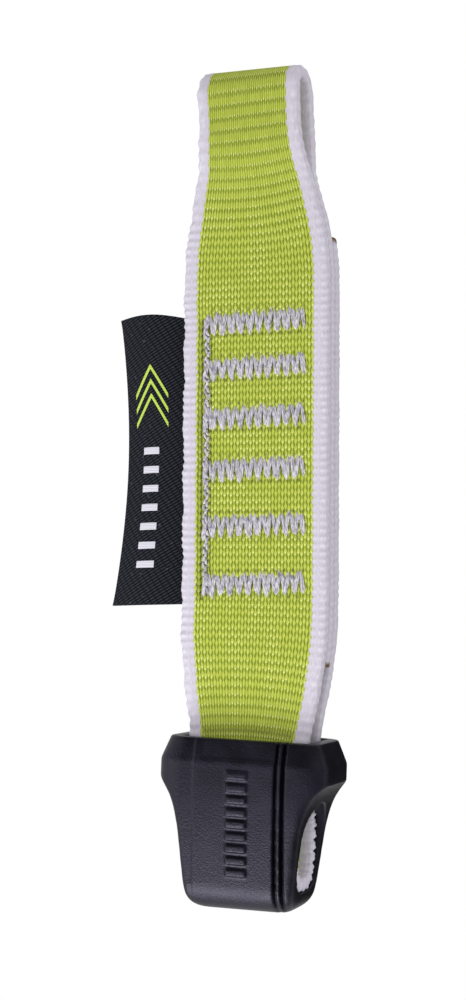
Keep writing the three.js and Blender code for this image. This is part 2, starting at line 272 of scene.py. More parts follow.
def finish_shape(piece, angle):
    """Merges doubles, turns faces outwards, and smooths the shading where faces meet below this angle."""
    edit_all(piece)
    bpy.ops.mesh.remove_doubles(threshold=0.002 * MM)
    bpy.ops.mesh.normals_make_consistent(inside=False)
    bpy.ops.object.mode_set(mode="OBJECT")
    bpy.ops.object.shade_smooth_by_angle(angle=math.radians(angle))
    let_go()


def triangles(piece):
    return sum(len(face.vertices) - 2 for face in piece.data.polygons)


def smoothstep(value, start, end):
    share = np.clip((np.asarray(value, float) - start) / (end - start), 0, 1)
    return share * share * (3 - 2 * share)


# %% [markdown]
# ## The strip
#
# The webbing is one strip. From its cut end on the back it runs down, round the lower eye, up the front,
# over the crown, and down again between the front and back layers, where its other end is hidden. Its
# middle line is drawn with the same straight runs, arcs and easy bends as the frame has, and then cut into
# stations of even length.

# %% Strip dimensions, in millimetres
front_low, front_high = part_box("front_webbing_layer")
WIDE_HALF = (front_high.x - front_low.x) / 2 / MM + 0.15
NARROW_HALF = 7.75
FRONT_Y = (front_low.y + front_high.y) / 2 / MM
BACK_Y = -FRONT_Y
BACK_END_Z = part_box("back_webbing_layer")[1].z / MM
INNER_END_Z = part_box("inner_webbing_layer")[0].z / MM
LOOP_HALF = 3.3  # half the distance between the middle lines of the upper loop's two legs
LOWER_LOOP_HALF = 3.65
LOWER_BACK_Y = 4.1  # the lower loop's back leg lies against the protector's back wall
SPREAD, SPREAD_FROM = 0.5, (-103.5, -106.5)  # the strip is a little wider inside the protector
STRIP_THICK = 2.1
CROWN_Z = -2.35  # centre of the crown's arc
UPPER_LEG_Z, UPPER_MERGE_Z = -8, -18
LOWER_LEG_Z, LOWER_SPLIT_Z = -106, -90.5
LOWER_BOTTOM_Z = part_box("lower_loop_webbing")[0].z / MM + 0.95
LOWER_FLAT_HALF = 1
BACK_ROUND, FRONT_ROUND = LOWER_BACK_Y - LOWER_FLAT_HALF, LOWER_LOOP_HALF - LOWER_FLAT_HALF
SPLIT_Z = -50  # where the upper and lower pieces of the visual strip meet, under a bar tack
UPPER_TAPER = (-7.5, -30)
LOWER_TAPER = (-107.5, -79)
BOW_HEIGHTS = (-121, -101, -93, -84, -76, -30, -24, -14, 0)  # the sling hangs in a slight sideways bow
BOW_SHIFTS = (-1.35, -0.75, -0.5, -0.2, 0, 0, -0.1, -0.6, -1.2)


def arc(centre, radius, start, end, steps=24):
    angles = np.radians(np.linspace(start, end, steps + 1))
    return [(centre[0] + radius * math.cos(a), centre[1] + radius * math.sin(a)) for a in angles]


def easy_bend(start, end, steps=24):
    """An S that leaves and arrives upright."""
    share = np.linspace(0, 1, steps + 1)
    bend = (start[1] + end[1]) / 2
    heights = start[1] * (1 - share) ** 3 + 3 * bend * share * (1 - share) + end[1] * share ** 3
    return list(zip(start[0] + (end[0] - start[0]) * smoothstep(share, 0, 1), heights))


LOWER_LINE = (
    [(BACK_Y, BACK_END_Z), (BACK_Y, LOWER_SPLIT_Z)]
    + easy_bend((BACK_Y, LOWER_SPLIT_Z), (LOWER_BACK_Y, LOWER_LEG_Z))
    + arc((LOWER_FLAT_HALF, LOWER_BOTTOM_Z + BACK_ROUND), BACK_ROUND, 0, -90)
    + arc((-LOWER_FLAT_HALF, LOWER_BOTTOM_Z + FRONT_ROUND), FRONT_ROUND, -90, -180)
    + easy_bend((-LOWER_LOOP_HALF, LOWER_LEG_Z), (FRONT_Y, LOWER_SPLIT_Z))
    + [(FRONT_Y, LOWER_SPLIT_Z), (FRONT_Y, SPLIT_Z)]
)
UPPER_LINE = (
    [(FRONT_Y, SPLIT_Z), (FRONT_Y, UPPER_MERGE_Z)]
    + easy_bend((FRONT_Y, UPPER_MERGE_Z), (-LOOP_HALF, UPPER_LEG_Z))
    + arc((0, CROWN_Z), LOOP_HALF, 180, 0)
    + easy_bend((LOOP_HALF, UPPER_LEG_Z), (0, UPPER_MERGE_Z))
    + [(0, UPPER_MERGE_Z), (0, INNER_END_Z)]
)


def stations(line, step):
    """Points at even steps along a line, with the direction out of the loop at each."""
    points = np.array([line[0]] + [b for a, b in zip(line, line[1:]) if math.dist(a, b) > 1e-6])
    lengths = np.concatenate([[0], np.cumsum(np.linalg.norm(np.diff(points, axis=0), axis=1))])
    count = round(lengths[-1] / step)
    along = np.linspace(0, lengths[-1], count + 1)
    places = np.stack([np.interp(along, lengths, points[:, axis]) for axis in (0, 1)], axis=1)
    runs = np.gradient(places, axis=0)
    runs /= np.linalg.norm(runs, axis=1)[:, None]
    return along, places, np.stack([-runs[:, 1], runs[:, 0]], axis=1)


def half_width(height):
    wide = smoothstep(height, *UPPER_TAPER) * smoothstep(height, *LOWER_TAPER)
    return NARROW_HALF + (WIDE_HALF - NARROW_HALF) * wide + SPREAD * smoothstep(height, *SPREAD_FROM)


def bow(height):
    return np.interp(height, BOW_HEIGHTS, BOW_SHIFTS)


def bowed(places):
    """Bends places sideways: each height moves by the bow and turns with its slope."""
    height = places[:, 2]
    lean = (bow(height + 2) - bow(height - 2)) / 4
    return np.stack([places[:, 0] + bow(height), places[:, 1], height - lean * places[:, 0]], axis=1)


print(f"strip: {2 * WIDE_HALF:.1f} mm wide in the middle, {2 * NARROW_HALF:.1f} mm in the loops")

# %% [markdown]
# ## The weave
#
# Webbing of this kind is ribbed along its length: warp yarns lie side by side, about half a millimetre
# apart, and each dives under the weft at even steps. In the narrow ends the steps are long and neighbours
# dive together, and in the wide middle they are short and neighbours take turns. The relief is real: the
# skin is a grid with a crest and a valley for every rib, wrapped round the strip, and each crest sinks
# where its yarn dives. The map on the skin counts ribs across and dives along, so that the colour can follow
# the yarns too: the white selvedges, and a painted shade and painted glints along the relief.

# %% Weave dimensions, in millimetres
WHITE_RIBS, LIME_RIBS = 2, 37
RIBS = 2 * WHITE_RIBS + LIME_RIBS
EDGE_STEPS, INSIDE_STEPS = 6, 20
SQUARENESS = 0.5  # 1 would make the strip's edge a half circle; less makes it squarer
ROW_STEP = 0.2
NARROW_STEP, WIDE_STEP = 1.85, 1.08  # between two dives of one yarn
NARROW_STAGGER, WIDE_STAGGER = 0.09, 0.28  # how many steps a neighbour dives later
RIB_RELIEF, DIVE_RELIEF = 0.07, 0.13
WHITE_RELIEF = 0.45  # the white yarns are this much flatter
LEFT_PEARL, RIGHT_PEARL = 0.075, 0.04  # the edges bulge at every dive
EDGE_WAVES = ((0.10, 7.7, 0), (0.06, 3.4, 1))  # depth, length and start of the waves along the left edge
RIGHT_WAVE = 0.3  # the right edge is straighter
ROUGH, ROUGH_FROM = 0.10, (-104, -106)  # inside the protector the edges are rough
MOST_FLARE = 0.3
MOUTH_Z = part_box("loop_protector")[1].z / MM + 1.0  # where the protector squeezes the strip
MOUTH_HALF = 6.7
print("one rib is", round(2 * WIDE_HALF / RIBS, 2), "mm wide in the middle")

# %% [markdown]
# Sewing pulls the skin in, and the hollows lie in shade. That shade is painted into the colour of the skin.
# Its places come from the frame's threads: beside the seam, in its needle holes, at the tips of the tacks,
# and at the mouth of the protector.

# %% Stitching dimensions and hollows, in millimetres
tack_low, tack_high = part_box("bar_tack_1_needle_thread")
TACK_LEFT, TACK_RIGHT = tack_low.x / MM, tack_high.x / MM
TACK_Z = [sum(corner.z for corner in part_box(f"bar_tack_{i}_needle_thread")) / 2 / MM for i in range(1, 7)]
TACK_HEIGHT = 4.5
TEETH = 11
TACK_START = TACK_LEFT - 0.4  # the first teeth lie over the seam
TOOTH = (TACK_RIGHT - TACK_START - 0.1) / TEETH
PINCH, PINCH_REACH, PINCH_HALF = 0.3, 1.3, 9.4  # how deep, high and wide a bar tack pulls the skin in
SEAM_X = TACK_LEFT + 0.05
SEAM_BOTTOM, SEAM_TOP = (corner.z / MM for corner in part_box("label_seam_needle_thread"))
SEAM_PINCH = 0.20
STITCH = 1.05
SEAM_HOLES = ((-0.75, 0), (0.62, 0.5))  # beside the seam: how far to the right, and how many stitches down
HOLE_RADIUS, TIP_RADIUS = 0.38, 0.45
SEAM_SHADE, HOLE_SHADE, TIP_SHADE, MOUTH_SHADE = 0.35, 0.95, 0.65, 0.5


def spot(x, z, radius):
    """1 at a point and 0 beyond a radius."""
    return 1 - smoothstep(np.hypot(x, z), 0, radius)


def off_whole(value):
    """How far each value is from the nearest whole number."""
    return value - np.round(value)


def seam_shade(x, z):
    """Painted shade to the left of the label seam, and in holes at both ends of its stitches."""
    shade = SEAM_SHADE * np.exp(-((x - SEAM_X + 0.75) / 0.5) ** 2)
    for off, start in SEAM_HOLES:
        drop = off_whole((z - SEAM_TOP) / STITCH + start) * STITCH * 0.8
        hole = spot(x - SEAM_X - off - 0.1 * np.sin(1.7 * z), drop, HOLE_RADIUS)
        shade = np.maximum(shade, HOLE_SHADE * hole)
    return shade * (z < SEAM_TOP + 0.6) * (z > SEAM_BOTTOM - 0.6)


def tack_shade(x, z):
    """Painted shade at the tips of the bar tacks' teeth."""
    tooth = (x - TACK_START + 0.2) / TOOTH
    ends = smoothstep(x, TACK_START - 0.3, TACK_START + 0.3) * smoothstep(x, TACK_RIGHT + 0.2, TACK_RIGHT - 0.3)
    shade = 0
    for centre in TACK_Z:
        for tip, shift in ((TACK_HEIGHT / 2 - 0.3, 0), (0.45 - TACK_HEIGHT / 2, 0.5)):
            shade = np.maximum(shade, spot(off_whole(tooth + shift) * TOOTH, z - centre - tip, TIP_RADIUS))
    return TIP_SHADE * ends * shade


def pulled_shade(x, z):
    """How dark the painted shade is where the seam, the tacks and the protector's mouth pull the skin in."""
    mouth = np.exp(-((z - MOUTH_Z + 0.1 * np.sin(9 * x)) / 0.3) ** 2) * (np.abs(x) < MOUTH_HALF)
    return np.maximum(np.maximum(seam_shade(x, z), tack_shade(x, z)), MOUTH_SHADE * mouth)


print("stitching: tacks at", [round(z, 1) for z in TACK_Z])

# %% [markdown]
# Now the grid is wrapped round the line. The relief sums what yarns, edges and stitches do to the skin, and
# the vertices keep four values for the colour: how far neighbours stagger, how long a step is, how dark the
# painted shade in a hollow is, and where the cut end has melted.

# %% Wrapping the weave
def ring():
    """The skin's columns, once round the strip: place across (-1 to 1), turn of the edge, and rib count."""
    columns = [(i / RIBS - 1, 90, i / 2) for i in range(2 * RIBS + 1)]
    columns += [(1, 90 - 180 * i / EDGE_STEPS, RIBS + i / EDGE_STEPS) for i in range(1, EDGE_STEPS)]
    columns += [(1 - 2 * i / INSIDE_STEPS, -90, RIBS * (1 - i / INSIDE_STEPS)) for i in range(INSIDE_STEPS + 1)]
    columns += [(-1, -90 - 180 * i / EDGE_STEPS, -1 + i / EDGE_STEPS) for i in range(1, EDGE_STEPS)]
    columns.append((-1, 90, 0))  # the ring closes on its first column
    across, turn, ribs = np.array(columns, float).T
    return across, np.radians(turn), ribs


def weave_strip(name, line, first_dive, cut_end):
    """Wraps a grid round a line. first_dive counts the dives before its start; cut_end is the melted end."""
    across, turn, ribs = ring()
    along, places, outward = stations(line, ROW_STEP)
    half = half_width(places[:, 1])
    step = WIDE_STEP + (NARROW_STEP - WIDE_STEP) * (WIDE_HALF - half) / (WIDE_HALF - NARROW_HALF)
    dives = first_dive + np.concatenate([[0], np.cumsum(np.diff(along) * 2 / (step[1:] + step[:-1]))])
    middle_share = smoothstep(half, NARROW_HALF + 1.6, WIDE_HALF - 0.05)
    stagger = NARROW_STAGGER + (WIDE_STAGGER - NARROW_STAGGER) * middle_share
    flare = -np.gradient(half, places[:, 1] + 1e-9 * np.arange(len(along))) * (outward[:, 0] ** 2 > 0.9)
    flare = np.clip(np.nan_to_num(flare), -MOST_FLARE, MOST_FLARE)

    strip, flat = new_grid(name, len(across) - 1, len(along) - 1)
    column = np.rint(flat[:, 0] * (len(across) - 1)).astype(int)
    row = np.rint(flat[:, 1] * (len(along) - 1)).astype(int)
    rib, out, turned = ribs[column], across[column], turn[column]
    lie, height, later, dive = along[row], places[row, 1], stagger[row], dives[row]
    on_face = np.isclose(turned, math.pi / 2)
    on_edge = ~on_face & ~np.isclose(np.sin(turned), -1)
    white = (rib < WHITE_RIBS) | (rib > RIBS - WHITE_RIBS)
    side = (half[row] - STRIP_THICK / 2) * out

    sink = 1 - np.abs(np.sin(math.pi * (dive + later * (np.floor(rib) % 2)))) ** 0.6
    crest = RIB_RELIEF - DIVE_RELIEF * (0.35 + 1.3 * later) * sink
    relief = np.where(np.abs(rib % 1 - 0.5) < 0.25, crest, -RIB_RELIEF) * on_face
    relief *= np.where(white, WHITE_RELIEF, 1)
    pearl = np.sin(2 * math.pi * dive) * (0.75 + 0.4 * np.sin(lie / 1.9))
    relief += (on_edge | white) * np.where(out < 0, LEFT_PEARL, RIGHT_PEARL) * pearl
    rough = ROUGH * (np.sin(4.1 * lie) + np.sin(7.7 * lie + 2) - 0.6)
    relief += on_edge * rough * smoothstep(height, *ROUGH_FROM)
    pinch = PINCH * sum(np.exp(-((height - z) / PINCH_REACH) ** 2) for z in TACK_Z)
    pinch *= smoothstep(PINCH_HALF - np.abs(side), 0, 1.6) * (np.abs(outward[row, 0]) > 0.99)
    seam_pinch = SEAM_PINCH * np.exp(-((side - SEAM_X + 0.3) / 0.7) ** 2)
    relief -= on_face * (pinch + seam_pinch * (height < SEAM_TOP) * (height > SEAM_BOTTOM))

    round_x, round_y = (np.sign(f) * np.abs(f) ** SQUARENESS for f in (np.cos(turned), np.sin(turned)))
    reach_out = STRIP_THICK / 2 + relief
    wave = sum(deep * np.sin(2 * math.pi * lie / length + start) for deep, length, start in EDGE_WAVES)
    wave *= np.where(out < 0, 1, RIGHT_WAVE) * np.abs(out) ** 8 * np.sign(out)
    skin = places[row] + outward[row] * (round_y * reach_out)[:, None]
    arched = skin[:, 1] + flare[row] * side ** 2 / (2 * half[row])  # rows meet both edges squarely
    x = side + on_edge * round_x * reach_out + wave
    put_corners(strip, bowed(np.stack([x, skin[:, 0], arched], axis=1)))

    melt = 1 - smoothstep(np.abs(lie - along[cut_end]), 0.25, 0.9)
    # The third value is how dark the painted shade of a hollow is.
    kept = {"stagger": later, "step": step[row], "pulled": pulled_shade(side, height), "melt": melt}
    for label, values in kept.items():
        attribute = strip.data.attributes.new(label, "FLOAT", "POINT")
        attribute.data.foreach_set("value", values.astype(np.float32))
    count_map(strip, column, row, ribs, dives)
    close_ends(strip)
    return strip, dives[-1]


def count_map(strip, column, row, ribs, dives):
    """The map on the skin: ribs across and dives along. Each face reads its own column, so none is torn."""
    mesh = strip.data
    loops = np.empty(len(mesh.loops), int)
    mesh.loops.foreach_get("vertex_index", loops)
    sizes = np.empty(len(mesh.polygons), int)
    mesh.polygons.foreach_get("loop_total", sizes)
    first = np.repeat([column[list(face.vertices)].min() for face in mesh.polygons], sizes)
    before, after = ribs[first], ribs[np.minimum(first + 1, len(ribs) - 1)]
    turns_in = (before > RIBS) & (after <= RIBS)
    turns_out = (before <= 1e-6) & (after < -0.5)
    left, right = np.where(turns_out, -1, before), np.where(turns_in, RIBS + 1, after)
    across = np.where(column[loops] > first, right, left)
    layer = mesh.uv_layers.active
    layer.name = "weave"
    layer.data.foreach_set("uv", np.stack([across, dives[row[loops]]], axis=1).ravel())


def close_ends(strip):
    """Joins the grid's two long sides and fills both ends."""
    edit_all(strip)
    bpy.ops.mesh.remove_doubles(threshold=0.002 * MM)
    bpy.ops.mesh.select_all(action="DESELECT")
    bpy.ops.mesh.select_non_manifold()
    bpy.ops.mesh.edge_face_add()
    bpy.ops.object.mode_set(mode="OBJECT")
    finish_shape(strip, 60)


lower_strip, dives_so_far = weave_strip("lower_webbing", LOWER_LINE, 0, 0)
upper_strip, dives_in_all = weave_strip("upper_webbing", UPPER_LINE, dives_so_far, -1)
print(f"weave: {RIBS} ribs and {dives_in_all:.0f} dives,",
      triangles(lower_strip), "and", triangles(upper_strip), "triangles")

# %% [markdown]
# ## Lime and white polyester yarn
#
# The webbing is woven from high-tenacity polyester, dyed lime, with white yarns in both selvedges.
# Polyester filaments are smooth, so each float has a soft shine along its top and looks darker where it
# dives. The colour paints both along the map: painted shade as a dark dash at each dive, a painted glint of
# pale yellow just above it, and painted shade between two ribs. Fine stretched noise stands for the
# filaments. Where the strip is cut, its end is melted brown.

# %% Webbing material
from functools import partial

MAIN_SETTING = {"Math": "operation", "Mix": "data_type", "MapRange": "interpolation_type", "UVMap": "uv_map",
                "Attribute": "attribute_name"}


def add_node(tree, kind, *values, output=None, **named):
    """Adds a shader node and gives back its first output, or a named one. A second word in kind is its main
    setting. values fill its sockets in order, and named fills them by name."""
    kind, *setting = kind.split()
    node = tree.nodes.new("ShaderNode" + kind)
    if setting:
        setattr(node, MAIN_SETTING[kind], setting[0])
    for socket, value in zip([socket for socket in node.inputs if socket.enabled], values):
        fill(socket, value)
    fill_named(node, **named)
    return node.outputs[output] if output else [socket for socket in node.outputs if socket.enabled][0]


def webbing_material():
    material, shader = new_material("woven_polyester_webbing", Roughness=0.58, Sheen_Weight=0.08,
                                    Sheen_Roughness=0.4, Specular_IOR_Level=0.35)
    add = partial(add_node, material.node_tree)
    count = add("UVMap weave")
    ribs, dives = (add("SeparateXYZ", count, output=axis) for axis in "XY")
    stagger, step, pulled, melt = (add("Attribute " + name, output="Fac")
                                   for name in ("stagger", "step", "pulled", "melt"))
    off_crest = add("Math ABSOLUTE", add("Math SUBTRACT", add("Math FRACT", ribs), 0.5))
    odd = add("Math MODULO", add("Math FLOOR", add("Math ADD", ribs, 2.0)), 2.0)
    phase = add("Math FRACT", add("Math MULTIPLY_ADD", stagger, odd, dives))
    from_dive = add("Math ABSOLUTE", add("Math SUBTRACT", phase, 0.5))  # 0.5 at a dive
    gap = add("Math MULTIPLY", add("Math SUBTRACT", 0.5, from_dive), step)  # mm from the dive
    near_dive = add("MapRange SMOOTHSTEP", gap, 0.55, 0.05)
    beside = add("Math MULTIPLY", off_crest, add("Math MULTIPLY", off_crest, 3.6))
    tip = add("Math MULTIPLY", near_dive, add("Math MULTIPLY_ADD", off_crest, 1.4, 0.52))
    leaf = add("Math ADD", beside, tip)  # under 0.7 on a float, 0.9 in a valley, over 1.2 beside a dive
    valley = add("MapRange SMOOTHSTEP", leaf, 0.55, 1.0)
    dive = add("MapRange SMOOTHSTEP", leaf, 0.85, 1.35)
    stretched = add("Mapping", count, Scale=(7.0, 0.8, 1.0))
    filaments = add("TexNoise", stretched, Scale=1.6, Detail=2.0)
    silky = add("MapRange SMOOTHSTEP", filaments, 0.3, 0.75)
    uneven = add("TexNoise", count, Scale=0.5, Detail=1.0)

    # The glint is a painted highlight. It lies on one side of the dive, on the crest, and comes and goes except
    # in the narrow ends.
    patchy = add("TexNoise", count, Scale=0.16, Detail=2.0)
    in_ends = add("Math MULTIPLY", add("MapRange SMOOTHSTEP", step, 1.3, 1.6), 0.6)
    glint = add("Math MAXIMUM", add("MapRange SMOOTHSTEP", patchy, 0.40, 0.62), in_ends)
    for share in (add("MapRange SMOOTHSTEP", gap, 0.16, 0.26), add("MapRange SMOOTHSTEP", gap, 0.52, 0.34),
                  add("MapRange SMOOTHSTEP", off_crest, 0.34, 0.16), add("Math LESS_THAN", phase, 0.5)):
        glint = add("Math MULTIPLY", glint, share)

    rows = add("MapRange SMOOTHSTEP", step, 2.6, 1.2)  # the rows are fainter in the narrow ends
    rows = add("Math MULTIPLY", rows, add("Math MULTIPLY_ADD", uneven, 0.8, 0.5))
    deeper = add("Math MULTIPLY", add("MapRange SMOOTHSTEP", uneven, 0.35, 0.7), 0.22)
    lime = add("Mix RGBA", silky, "#B6C43F", "#D3DD64")
    # Painted shade in the valleys and as a dark dash at each dive, and the painted glint; the last colour is
    # uneven tone.
    for share, colour in ((add("Math MULTIPLY", valley, 0.45), "#9EAE22"),
                          (add("Math MULTIPLY", dive, rows), "#76890E"),
                          (add("Math MULTIPLY", glint, 0.8), "#F2F5A6"), (deeper, "#A3B42E")):
        lime = add("Mix RGBA", share, lime, colour)
    faded = add("Math MULTIPLY", add("MapRange SMOOTHSTEP", uneven, 0.3, 0.75), 0.5)
    white = add("Mix RGBA", silky, "#CCC7D3", "#E2DEE8")
    # Painted shade on the white yarn, in the valleys and beside each dive; the faded patches are uneven tone.
    for share, colour in ((add("Math MULTIPLY", valley, 0.10), "#BEB7CA"),
                          (faded, "#D3CBDA"), (add("Math MULTIPLY", near_dive, 0.4), "#C4BDCE")):
        white = add("Mix RGBA", share, white, colour)

    # The white weft shows between the first lime yarns.
    reach_in = add("Math MULTIPLY", near_dive, add("Math MULTIPLY", uneven, 0.8))
    below = add("Math LESS_THAN", add("Math SUBTRACT", ribs, reach_in), WHITE_RIBS)
    above = add("Math GREATER_THAN", add("Math ADD", ribs, reach_in), RIBS - WHITE_RIBS)
    in_white = add("Math ADD", below, above)
    colour = add("Mix RGBA", in_white, lime, white)
    # Painted shade in the hollows of the stitching and under the protector's mouth.
    colour = add("Mix RGBA", pulled, colour, "#272D0A")
    colour = add("Mix RGBA", melt, colour, "#6A4E22")

    depth = add("Math MULTIPLY_ADD", dive, -0.8, add("Math MULTIPLY", valley, -0.7))
    depth = add("Math MULTIPLY", depth, add("Math MULTIPLY_ADD", in_white, -0.85, 1.0))
    depth = add("Math MULTIPLY_ADD", filaments, 0.35, depth)
    bump = add("Bump", Height=depth, Strength=0.8, Distance=0.12 * MM)
    fill_named(shader, Base_Color=colour, Normal=bump)
    return material


webbing = webbing_material()
for strip in (lower_strip, upper_strip):
    strip.data.materials.append(webbing)
print("material:", webbing.name, "with", len(webbing.node_tree.nodes), "nodes")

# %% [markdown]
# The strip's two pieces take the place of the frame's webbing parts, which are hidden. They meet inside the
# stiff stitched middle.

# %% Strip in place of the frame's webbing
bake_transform(upper_strip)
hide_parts("upper_loop_webbing", "inner_webbing_layer")
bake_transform(lower_strip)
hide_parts("front_webbing_layer", "back_webbing_layer", "lower_loop_webbing")

# %% [markdown]
# ## Bar tacks
#
# A bar tack is a dense zigzag that a machine sews over the same short line many times. Each leg of the
# zigzag here is three strands of bonded thread side by side. One strand is a slim cylinder, bent so that
# both ends dive into the webbing; it is made for each place in one tooth, and the tooth is repeated across
# the strip. Every tack gets its own mesh, tilted and ruffled a little, because a needle never lands twice
# in the same hole.

# %% Thread dimensions, in millimetres
STRAND_RADIUS = 0.155
STRAND_CUTS = (-0.4, -0.25, 0, 0.25, 0.4)
STRANDS = ((-0.17, 0.86, 0), (0, 1, 0.07), (0.17, 0.82, 0))  # each leg's strands: shift, length and height
LEGS = ((0.02, 0.40, -1), (0.60, 0.98, 1))  # each leg of a tooth: from, to, and whether it starts low or high
TACK_DIP, SEAM_DIP = 0.75, 0.45  # how deep the ends of a strand dive
FACE_Y = -FRONT_Y + STRIP_THICK / 2  # how far the outer faces stand from the middle
TACK_TOP = FACE_Y - PINCH + 0.20


def strand(start, end, top, dip, radius=STRAND_RADIUS):
    """A strand from start to end (x, z). Its ends dive by dip, and its middle stands at top on the front."""
    let_go()
    bpy.ops.mesh.primitive_cylinder_add(vertices=8, radius=radius * MM, depth=1, end_fill_type="NGON")
    piece = name_new("strand")
    edit_all(piece)
    for height in STRAND_CUTS:
        bpy.ops.mesh.select_all(action="SELECT")
        bpy.ops.mesh.bisect(plane_co=(0, 0, height), plane_no=(0, 0, 1))
    bpy.ops.object.mode_set(mode="OBJECT")
    places = corners(piece)
    share = places[:, 2] * MM + 0.5
    x, z = (np.interp(share, (0, 1), pair) for pair in zip(start, end))
    y = dip * np.abs(2 * share - 1) ** 4 - top
    put_corners(piece, np.stack([x + places[:, 0], y + places[:, 1], z], axis=1))
    return piece


def join(pieces, name):
    pick(*pieces)
    bpy.ops.object.join()
    return name_new(name)


def one_tack():
    """A bar tack at height 0 on the front."""
    strands = []
    for x0, x1, up in LEGS:
        for shift, length, height in STRANDS:
            end = up * TACK_HEIGHT / 2 * length
            left, right = (TACK_START + x * TOOTH + shift for x in (x0, x1))
            top = TACK_TOP + (0.1 if up < 0 else 0) + height
            strands.append(strand((left, end), (right, -end), top, TACK_DIP))
    tooth = join(strands, "tack")
    keep_modifier(tooth, "ARRAY", count=TEETH, use_relative_offset=False, use_constant_offset=True,
                  constant_offset_displace=(TOOTH * MM, 0, 0))
    return tooth


def ruffle(places, seed):
    """Small smooth shifts that differ from tack to tack."""
    x, z = places[:, 0].copy(), places[:, 2].copy()
    places[:, 2] += 0.16 * np.sin(2.3 * x + 1.7 * seed) * np.sign(z) + 0.09 * np.sin(5.1 * x + seed) + 0.035 * x
    places[:, 0] += 0.07 * np.sin(3.7 * x + 2.1 * seed + 1.5 * np.sign(z))
    places[:, 1] += 0.05 * np.sin(6.1 * x + 3 * seed)
    return places


def copied(piece, name, places):
    """A copy of a piece with its own mesh."""
    pick(piece)
    bpy.ops.object.duplicate()
    twin = name_new(name)
    put_corners(twin, places)
    finish_shape(twin, 80)
    return twin


tack = one_tack()
tack_shape = corners(tack)
threads = []
for number, z in enumerate(TACK_Z, start=1):
    for side, kind in ((1, "needle"), (-1, "bobbin")):
        places = ruffle(tack_shape.copy(), number + (0 if side > 0 else 10))
        places = places * (1, side, 1) + (0, 0, z)
        piece = copied(tack, f"{kind}_tack_{number}", places)
        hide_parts(f"bar_tack_{number}_{kind}_thread")
        threads.append(piece)
bpy.data.objects.remove(tack)
print("bar tacks:", len(threads), "pieces of", triangles(threads[0]), "triangles")

# %% [markdown]
# The seam that holds the label runs down beside the tacks. It is a narrow zigzag of the same thread, sewn
# twice, so short stitches lean to and fro in a chain.

# %% Label seam
SEAM_SWING = 0.15
SEAM_SHIFT = 0.16  # from the middle of the seam to each of its two chains
SEAM_RADIUS = 0.21


def seam(name, side):
    """Both chains of stitches, on the front (side 1) or the back (side -1)."""
    first = []
    for shift in (-SEAM_SHIFT, SEAM_SHIFT):
        for drop, way in ((0, 1), (STITCH, -1)):
            x, z = SEAM_X + shift, SEAM_TOP - drop - 1.5 * shift
            lean = SEAM_SWING * way * (1 if shift < 0 else -1)
            first.append(strand((x - lean, z), (x + lean, z - 0.92 * STITCH), FACE_Y + 0.08, SEAM_DIP,
                                SEAM_RADIUS))
    chain = join(first, name)
    keep_modifier(chain, "ARRAY", count=math.floor((SEAM_TOP - SEAM_BOTTOM) / (2 * STITCH)),
                  use_relative_offset=False, use_constant_offset=True,
                  constant_offset_displace=(0, 0, -2 * STITCH * MM))
    places = corners(chain)
    places[:, 0] += 0.12 * np.sin(0.9 * places[:, 2]) + 0.05 * np.sin(2.9 * places[:, 2])
    put_corners(chain, places * (1, side, 1))
    finish_shape(chain, 80)
    return chain


for side, kind in ((1, "needle"), (-1, "bobbin")):
    chain = seam(f"{kind}_seam", side)
    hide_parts(f"label_seam_{kind}_thread")
    threads.append(chain)
print("seam:", triangles(chain), "triangles on each side")

# %% [markdown]
# The thread is bonded grey polyester: two plies twisted and coated so that they don't fray, with a soft
# shine. The filaments show as fine streaks along the strands, drawn a little coarser than they are.

# %% Thread material
FILAMENT, STREAK, PATCH = 0.11 * MM, 0.9 * MM, 0.8 * MM
TWIST_LEAN = 0.15


def thread_material():
    material, shader = new_material("bonded_grey_thread", Roughness=0.42, Sheen_Weight=0.1)
    add = partial(add_node, material.node_tree)
    place = add("TexCoord", output="Object")
    turned = add("Mapping", place, Rotation=(0, TWIST_LEAN, 0))
    twist = add("TexNoise", add("Mapping", turned, Scale=(1 / FILAMENT, 1, 1 / STREAK)), Scale=1.0, Detail=2.0)
    patches = add("TexNoise", place, Scale=1 / PATCH, Detail=1.0)
    colour = add("Mix RGBA", add("MapRange SMOOTHSTEP", twist, 0.38, 0.62), "#96929F", "#E2DFE6")
    colour = add("Mix RGBA", add("MapRange SMOOTHSTEP", patches, 0.5, 0.8), colour, "#8B8694")
    bump = add("Bump", Height=twist, Strength=0.4, Distance=0.05 * MM)
    fill_named(shader, Base_Color=colour, Normal=bump)
    return material


grey_thread = thread_material()
for piece in threads:
    piece.data.materials.clear()
    piece.data.materials.append(grey_thread)
    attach(piece, "stitched_middle")
print("threads:", sum(triangles(piece) for piece in threads), "triangles in all")

# %% [markdown]
# ## Label
#
# The label is a tape of black twill, folded once, with both tails caught in the side seam. It stands out
# like a small flag: its free edge is the fold, a little longer at the foot than at the top, and the tape
# curls softly. It is a grid laid on that curve, thickened, and rounded along its edges.

# %% Label shape, in millimetres
flap_low, flap_high = (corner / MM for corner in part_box("label_flap"))
tail_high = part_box("label_tail")[1] / MM
LABEL_TOP, LABEL_BOTTOM = flap_high.z, flap_low.z
LABEL_ROOT = flap_high.x
LABEL_INNER = tail_high.x
HIDDEN_Y = FRONT_Y + STRIP_THICK / 2
LABEL_THICK = 0.46
REACH_TOP, REACH_WAIST, REACH_FOOT = 10.0, 8.6, 10.9
CURL = 1.5


def reach(share):
    """How far the free edge stands out, from the top (0) to the foot (1)."""
    straight_edge = REACH_TOP + (REACH_FOOT - REACH_TOP) * share
    sag = (REACH_TOP + REACH_FOOT) / 2 - REACH_WAIST
    return straight_edge - sag * np.sin(math.pi * np.clip(share, 0, 1)) ** 0.8


